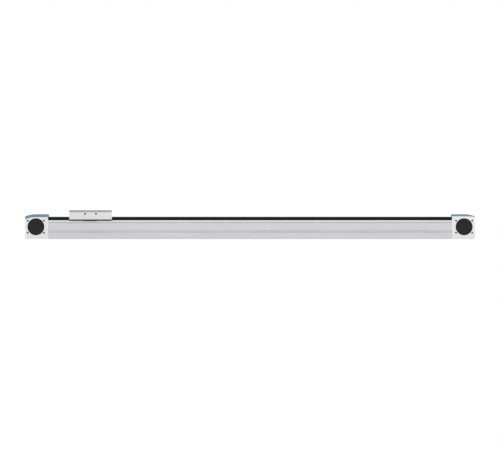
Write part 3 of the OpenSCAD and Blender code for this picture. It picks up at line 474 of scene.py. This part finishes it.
# Width in millimetres to which the sharp edges of each CAD node are broken
BROKEN_EDGES = {
    "drive_head_housing": 0.3,
    "idler_head_housing": 0.3,
    "drive_head_hood": 1.1,
    "idler_head_hood": 1.1,
    "carriage_body": 0.5,
    "carriage_top_plate": 0.8,
    "profile_body": 0.3,
    "side_slot_covers": 0.3,
    "bottom_slot_covers": 0.3,
    "cover_strip_front": 0.3,
    "cover_strip_rear": 0.3,
    "drive_shaft": 0.4,
    "idler_shaft": 0.4,
    "drive_bearing_outer_rings": 0.4,
    "idler_bearing_outer_rings": 0.4,
    "drive_bearing_inner_rings": 0.4,
    "idler_bearing_inner_rings": 0.4,
    "runner_block_left": 0.5,
    "runner_block_right": 0.5,
    "block_end_caps": 0.5,
    "block_end_seals": 0.3,
    "magnet_holder_front": 0.4,
    "magnet_holder_rear": 0.4,
    "strip_wipers": 0.3,
    "rail_plugs": 0.2,
}


def dress_cad_nodes():
    """Gives each CAD node the material of its slot in the record."""
    for part in frame["record"]["subparts"]:
        node = frame["nodes"][part["node"]]
        material = MATERIALS[part["material_slot"]]
        if not node.material_slots:
            node.data.materials.append(material)
        for slot in node.material_slots:
            slot.material = material


def break_edges():
    """Rounds the sharp edges of the CAD nodes a little."""
    for name, width in BROKEN_EDGES.items():
        node = frame["nodes"][name]
        weld = node.modifiers.new("weld", "WELD")
        weld.merge_threshold = WELD_REACH
        flat = node.modifiers.new("flat_faces", "DECIMATE")
        flat.decimate_type = "DISSOLVE"
        flat.angle_limit = FLAT_ANGLE
        bevel = node.modifiers.new("broken_edges", "BEVEL")
        bevel.width = width * MM
        bevel.segments = 2
        bevel.limit_method = "ANGLE"
        bevel.angle_limit = EDGE_ANGLE
        bevel.harden_normals = True
        bevel.use_clamp_overlap = True


# ---------------------------------------------------------------- pieces

SAME_POINT = 0.005 * MM
SMOOTH_ANGLE = math.radians(32)

# Radius of a socket screw's head, as a share of its thread size
HEAD_SHARE = 0.85

# Length in millimetres of the thread in the holes of a bolt pattern, by a word of its name
THREAD_LENGTHS = {"face": 10, "front": 10, "rear": 10, "base": 7, "payload": 14}

# Outline of a side seal, as shares of its thickness and height: foot, leaning lip, foot
SEAL_OUTLINE = [
    (1, 1),
    (1, 0.55),
    (0.82, 0.45),
    (0.45, 0.04),
    (0.3, 0),
    (0.15, 0.06),
    (0.3, 0.45),
    (0, 0.6),
    (0, 1),
]


def loose_parts(name):
    """Lowest and highest corner of each separate solid of a CAD node."""
    mesh = bmesh.new()
    mesh.from_mesh(frame["nodes"][name].data)
    bmesh.ops.remove_doubles(mesh, verts=mesh.verts, dist=SAME_POINT)
    left = set(mesh.verts)
    boxes = []
    while left:
        reached = [left.pop()]
        places = []
        while reached:
            vert = reached.pop()
            places.append(vert.co.copy())
            for edge in vert.link_edges:
                other = edge.other_vert(vert)
                if other in left:
                    left.remove(other)
                    reached.append(other)
        low = Vector([min(place[i] for place in places) for i in range(3)])
        high = Vector([max(place[i] for place in places) for i in range(3)])
        boxes.append((low, high))
    mesh.free()
    return sorted(boxes, key=lambda box: tuple(round(v, 5) for v in box[0]))


def turn(mesh, outline, origin, axis, segments, shape=None):
    """Turns an outline of (radius, height) points about an axis through the origin point.

    shape(step, radius, angle) gives another radius for a point, for ridges or flats.
    """
    stand = UP.rotation_difference(Vector(axis)).to_matrix()
    rings = []
    for step, (radius, height) in enumerate(outline):
        ring = []
        for i in range(segments if radius else 1):
            angle = 2 * HALF_TURN * i / segments
            reach = shape(step, radius, angle) if shape and radius else radius
            place = Vector((reach * math.cos(angle), reach * math.sin(angle), height))
            ring.append(mesh.verts.new(origin + stand @ place))
        rings.append(ring)
    for low, high in zip(rings, rings[1:]):
        for i in range(segments):
            j = (i + 1) % segments
            corners = [low[i % len(low)], low[j % len(low)], high[j % len(high)], high[i % len(high)]]
            mesh.faces.new(list(dict.fromkeys(corners)))


def piece(name, mesh, body, slot, *nodes):
    """Makes an object of a mesh, with its body, its material and the CAD nodes it stands for."""
    bmesh.ops.recalc_face_normals(mesh, faces=mesh.faces)
    data = bpy.data.meshes.new(name)
    mesh.to_mesh(data)
    mesh.free()
    data.materials.append(MATERIALS[slot])
    data.polygons.foreach_set("use_smooth", [True] * len(data.polygons))
    data.set_sharp_from_angle(angle=SMOOTH_ANGLE)
    obj = bpy.data.objects.new(name, data)
    bpy.context.scene.collection.objects.link(obj)
    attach(obj, body)
    if nodes:
        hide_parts(*nodes)


def rounded_end(radius, height, bulge, steps):
    """Points of a quarter circle that rounds the outer end of a turned outline."""
    points = []
    for i in range(steps + 1):
        angle = QUARTER_TURN * i / steps
        points.append((radius - bulge * (1 - math.cos(angle)), height - bulge * (1 - math.sin(angle))))
    return points


def make_bearing_cap(node):
    """A pressed-in cover disc: broken edges, a ring groove and a slightly dished middle."""
    low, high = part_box(node)
    middle = (low + high) / 2
    outward = Vector((0, math.copysign(1, middle.y), 0))
    radius, thick = (high.x - low.x) / 2, high.y - low.y
    origin = middle - outward * thick / 2
    chamfer = 0.4 * MM
    edge = 0.2 * MM
    groove = radius - 3.4 * MM
    groove_mouth, groove_floor = 0.5 * MM, 0.3 * MM
    groove_depth = 0.5 * MM
    dish_depth = 0.45 * MM
    outline = [
        (0, 0),
        (radius - chamfer, 0),
        (radius, chamfer),
        (radius, thick - edge),
        (radius - edge / 4, thick - edge / 4),
        (radius - edge, thick),
        (groove + groove_mouth, thick),
        (groove + groove_floor, thick - groove_depth),
        (groove - groove_floor, thick - groove_depth),
        (groove - groove_mouth, thick),
        (groove - 7 * MM, thick - 0.1 * MM),
        (groove - 8 * MM, thick - 0.35 * MM),
        (4 * MM, thick - dish_depth),
        (0, thick - dish_depth),
    ]
    mesh = bmesh.new()
    turn(mesh, outline, origin, outward, segments=96)
    piece(node + "_turned", mesh, "base", "cap_plastic", node)


def make_buffers(node, inward):
    """Rubber bumpers with a foot, a waist and a rounded nose."""
    mesh = bmesh.new()
    for low, high in loose_parts(node):
        length = high.x - low.x
        origin = (low + high) / 2 - Vector((inward, 0, 0)) * length / 2
        radius = (high.y - low.y) / 2
        waist = radius - 0.8 * MM
        flank = radius - 0.3 * MM
        outline = [(0, 0), (flank, 0), (radius, 0.3 * MM), (radius, 1.4 * MM)]
        outline += [(waist, 2 * MM), (waist, 3.2 * MM), (flank, 3.8 * MM)]
        outline += rounded_end(flank, length, bulge=3 * MM, steps=6)
        outline.append((0, length))
        turn(mesh, outline, origin, (inward, 0, 0), segments=48)
    piece(node + "_moulded", mesh, "base", "buffer_rubber", node)


def make_nipples():
    """Grease nipples, and the dust caps with a rounded end that cover them."""
    bodies, caps = bmesh.new(), bmesh.new()
    for low, high in loose_parts("grease_nipples"):
        middle = (low + high) / 2
        outward = Vector((0, math.copysign(1, middle.y), 0))
        length = high.y - low.y
        origin = middle - outward * length / 2
        radius = (high.x - low.x) / 2
        cap = 0.8 * radius
        neck = 0.7 * cap
        foot = 4 * MM
        chamfer = 0.3 * MM
        bulge = 1.2 * MM
        body = [(0, 0), (radius, 0), (radius, foot - chamfer), (radius - chamfer, foot), (0, foot)]
        outline = [(0, foot), (neck, foot), (neck, foot + 0.8 * MM), (cap, foot + bulge)]
        outline += rounded_end(cap, length, bulge, steps=5)
        outline.append((0, length))
        turn(bodies, body, origin, outward, segments=32)
        turn(caps, outline, origin, outward, segments=32)
    piece("grease_nipple_bodies", bodies, "carriage", "screw_steel", "grease_nipples")
    piece("grease_nipple_caps", caps, "carriage", "cap_plastic")


def add_socket_screw(mesh, seat, axis, size, length):
    """A socket head screw of a thread size, its head standing on the point seat."""
    head = HEAD_SHARE * size
    flat = 0.4 * size
    point = 0.6 * MM
    knurls = 72
    knurl_depth = 0.03
    # Steps of the outline that are knurled, and those of the socket's hexagon
    knurled = (6, 7)
    hexagonal = (11, 12)

    def shape(step, radius, angle):
        if step in knurled:
            return radius * (1 - knurl_depth * (round(angle / (2 * HALF_TURN) * knurls) % 2))
        if step in hexagonal:
            sixth = HALF_TURN / 3
            return radius / math.cos(angle % sixth - sixth / 2)
        return radius

    outline = [
        (0, -length),
        (size / 2 - point, -length),
        (size / 2, -length + point),
        (size / 2, 0),
        (head - 0.3 * MM, 0),
        (head, 0.25 * MM),
        (head, 0.5 * MM),
        (head, 0.82 * size),
        (head, 0.85 * size),
        (head - 0.12 * size, size),
        (1.3 * flat, size),
        (flat, size - 0.12 * flat),
        (flat, 0.5 * size),
        (0, 0.42 * size),
    ]
    turn(mesh, outline, seat, axis, segments=knurls, shape=shape)


def make_screws(node, body, across):
    """Detailed socket screws in place of a CAD node's plain ones, heads out along an axis."""
    mesh = bmesh.new()
    for low, high in loose_parts(node):
        middle = (low + high) / 2
        long_way = "XYZ".index(across)
        side = math.copysign(1, middle.x) if across == "X" else 1
        axis = Vector((side, 0, 0)) if across == "X" else UP.copy()
        size = (high.y - low.y) / (2 * HEAD_SHARE)
        total = high[long_way] - low[long_way]
        seat = middle + axis * (total / 2 - size)
        add_socket_screw(mesh, seat, axis, size, total - size)
    piece(node + "_knurled", mesh, body, "screw_steel", node)


def hole_places(mount):
    """Middle points of a bolt pattern's holes, at its mounting face."""
    centre = Vector(mount["pos_m"])
    dims = mount["dims"]
    upright = abs(mount["axis"][2]) > 0.5
    if "pcd_mm" in dims:
        reach = dims["pcd_mm"] / 2 * MM
        angles = [HALF_TURN * (i / 2 + 1 / 4) for i in range(4)]
        offsets = [(reach * math.cos(a), reach * math.sin(a)) for a in angles]
    else:
        x, y = dims["spacing_x_mm"] / 2 * MM, dims["spacing_y_mm"] / 2 * MM
        offsets = [(x, y), (-x, y), (-x, -y), (x, -y)]
    return [centre + (Vector((a, b, 0)) if upright else Vector((a, 0, b))) for a, b in offsets]


def make_threads_painting_hole_shade(mount, depth, body):
    """A thread insert in each hole of a bolt pattern: a ridge that winds down the wall. Its dark steel
    wall and floor paint the shade deep in the hole.
    """
    radius = mount["dims"]["hole_r_mm"] * MM
    inward = -Vector(mount["axis"])
    pitch = 0.3 * radius
    ridge = 0.12 * radius
    mouth = 0.4 * MM
    end = 0.2 * MM
    outer = radius + 0.2 * MM
    inner = radius - 0.03 * MM
    rings_per_turn = 4
    rings = int(rings_per_turn * depth / pitch)
    back = [(0, depth), (outer, depth), (outer, mouth)]
    wall = [(inner, mouth + (depth - mouth - end) * i / rings) for i in range(rings + 1)]
    outline = back + wall + [(0, depth - end)]

    def shape(step, reach, angle):
        if step < len(back):
            return reach
        turns = outline[step][1] / pitch + angle / (2 * HALF_TURN)
        return reach - ridge * (1 - abs(2 * (turns % 1) - 1))

    mesh = bmesh.new()
    for place in hole_places(mount):
        turn(mesh, outline, place, inward, segments=24, shape=shape)
    # Dark steel lining: the thread form is real, the darkness stands in for the shade inside the holes
    piece(mount["name"] + "_thread", mesh, body, "screw_steel")


def add_bar(mesh, outline, start, end):
    """Draws an outline of (y, z) points along X from start to end."""
    rings = [[mesh.verts.new((x, y, z)) for y, z in outline] for x in (start, end)]
    count = len(outline)
    for i in range(count):
        j = (i + 1) % count
        mesh.faces.new((rings[0][i], rings[0][j], rings[1][j], rings[1][i]))
    mesh.faces.new(rings[0])
    mesh.faces.new(rings[1])


def make_side_seals():
    """Seals under the skirts: a clamped foot and a lip that leans towards the profile."""
    mesh = bmesh.new()
    for low, high in loose_parts("side_seals"):
        side = math.copysign(1, low.y)
        outer = side * max(abs(low.y), abs(high.y))
        inner = side * min(abs(low.y), abs(high.y))
        thick = outer - inner
        tall = high.z - low.z
        outline = [(inner + thick * across, low.z + tall * up) for across, up in SEAL_OUTLINE]
        add_bar(mesh, outline, low.x, high.x)
    piece("side_seals_lipped", mesh, "carriage", "seal_rubber", "side_seals")


def make_pieces():
    """Makes every piece that stands for a CAD node, and the dark threads that paint shade into the
    mounting holes.
    """
    for node in ("drive_front_cap", "idler_front_cap", "idler_rear_cap"):
        make_bearing_cap(node)
    make_buffers("end_buffers_left", 1)
    make_buffers("end_buffers_right", -1)
    make_nipples()
    make_side_seals()
    make_screws("hood_screws", "base", "Z")
    make_screws("drive_head_screws", "base", "X")
    make_screws("idler_head_screws", "base", "X")
    make_screws("top_plate_screws", "carriage", "Z")
    for mount in frame["record"]["mounts"]:
        if mount["kind"] == "bolt_pattern":
            length = next(mm for word, mm in THREAD_LENGTHS.items() if word in mount["name"])
            make_threads_painting_hole_shade(mount, length * MM, "carriage" if mount["name"] == "payload_holes" else "base")


make_camera()
make_floor()
make_world()
make_lamps()
dress_cad_nodes()
break_edges()
make_pieces()
